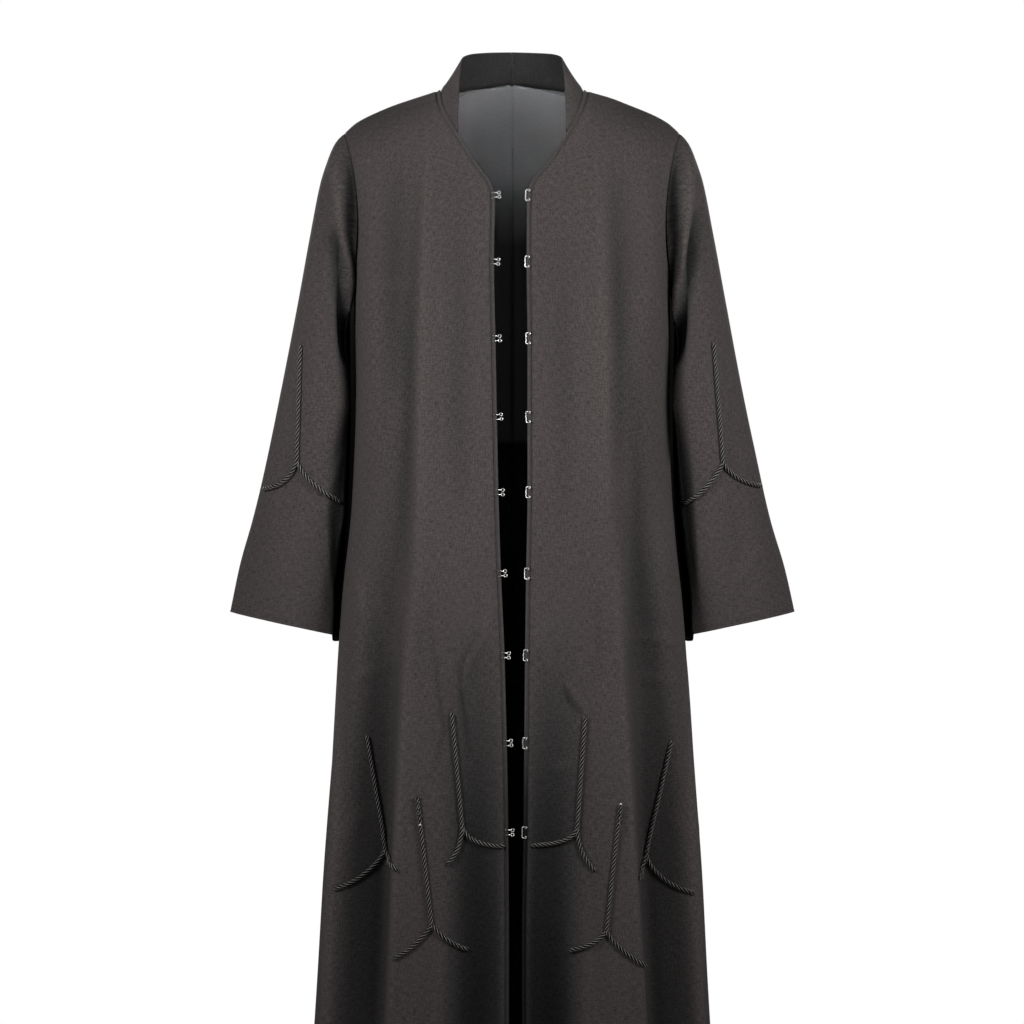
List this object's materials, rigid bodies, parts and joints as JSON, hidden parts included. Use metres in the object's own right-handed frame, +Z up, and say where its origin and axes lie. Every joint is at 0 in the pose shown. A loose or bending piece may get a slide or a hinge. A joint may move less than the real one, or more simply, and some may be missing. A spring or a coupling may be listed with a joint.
{
  "type": "abaya, open front, worn and empty",
  "caption": "An open-fronted abaya with a stand collar, bell sleeves, couched cord trim, a back lining and hooks and eyes, shaped as worn; it covers the wearer from neck to ankle.",
  "frame": {"origin": "the base of the neck, midway between the two points where the shoulder seams meet the collar, where the wearer's shoulders carry the garment", "axes": "+Z is up along the wearer's spine, -Y is the way the front opening faces, and +X is the wearer's left"},
  "size_m": [0.676, 0.4207, 1.4741],
  "materials": {
    "cloth": "matte plain weave with a fine two-tone fleck",
    "piping": "matte plain weave, folded narrow",
    "lining": "satin",
    "cord": "twisted rayon cord with a soft shine",
    "wire": "plated wire"
  },
  "bodies": {
    "root": {"front_right_bodice": "cloth", "front_right_skirt": "cloth", "back_right_bodice": "cloth", "back_right_skirt": "cloth", "front_left_bodice": "cloth", "front_left_skirt": "cloth", "back_left_bodice": "cloth", "back_left_skirt": "cloth", "sleeve_right": "cloth", "collar_right": "cloth", "sleeve_left": "cloth", "collar_left": "cloth", "lining_right": "lining", "lining_left": "lining", "edge_band_right": "piping", "edge_band_left": "piping", "cord_sleeve_right_main": "cord", "cord_sleeve_right_branch": "cord", "cord_sleeve_left_main": "cord", "cord_sleeve_left_branch": "cord", "cord_inner_right_main": "cord", "cord_inner_right_branch": "cord", "cord_inner_left_main": "cord", "cord_inner_left_branch": "cord", "cord_middle_right_main": "cord", "cord_middle_right_branch": "cord", "cord_middle_left_main": "cord", "cord_middle_left_branch": "cord", "cord_outer_right_main": "cord", "cord_outer_right_branch": "cord", "cord_outer_left_main": "cord", "cord_outer_left_branch": "cord", "hook_1": "wire", "eye_1": "wire", "hook_2": "wire", "eye_2": "wire", "hook_3": "wire", "eye_3": "wire", "hook_4": "wire", "eye_4": "wire", "hook_5": "wire", "eye_5": "wire", "hook_6": "wire", "eye_6": "wire", "hook_7": "wire", "eye_7": "wire", "hook_8": "wire", "eye_8": "wire", "hook_9": "wire", "eye_9": "wire"}
  },
  "joints": []
}
